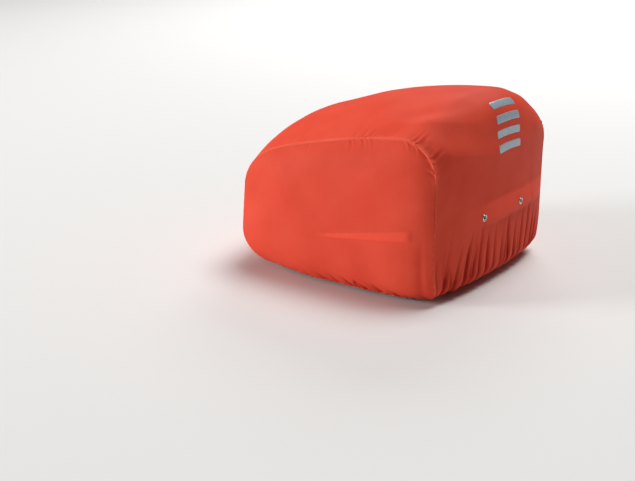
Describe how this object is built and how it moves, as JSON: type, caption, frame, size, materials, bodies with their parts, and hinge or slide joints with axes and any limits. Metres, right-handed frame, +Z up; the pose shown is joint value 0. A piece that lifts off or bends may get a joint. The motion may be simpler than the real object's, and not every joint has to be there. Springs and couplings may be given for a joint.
{
  "type": "bicycle trunk bag in its rain cover",
  "caption": "Wedge-shaped bag for a bicycle's rear carrier, dressed in a domed elastic rain cover with a gathered hem and rear eyelets.",
  "frame": {"origin": "middle of the whole length and width, in the plane that the base plate stands on", "axes": "+X to the rear of the bicycle, +Y to its right, +Z up"},
  "size_m": [0.2814, 0.266, 0.2027],
  "materials": {
    "cover_cloth": "thin coated nylon, slight sheen",
    "seam_binding": "bound and stitched nylon edge",
    "eyelet_metal": "nickel plate, slightly dull",
    "bag_cloth": "matt woven pack cloth",
    "base_plastic": "moulded, fine grain"
  },
  "bodies": {
    "root": {"cover_center_panel": "cover_cloth", "cover_side_panel_left": "cover_cloth", "cover_side_panel_right": "cover_cloth", "seam_piping_left": "seam_binding", "seam_piping_right": "seam_binding", "hem_casing": "seam_binding", "eyelet_left": "eyelet_metal", "eyelet_right": "eyelet_metal", "bag_tub": "bag_cloth", "bag_lid": "bag_cloth", "base_plate": "base_plastic"}
  },
  "joints": []
}
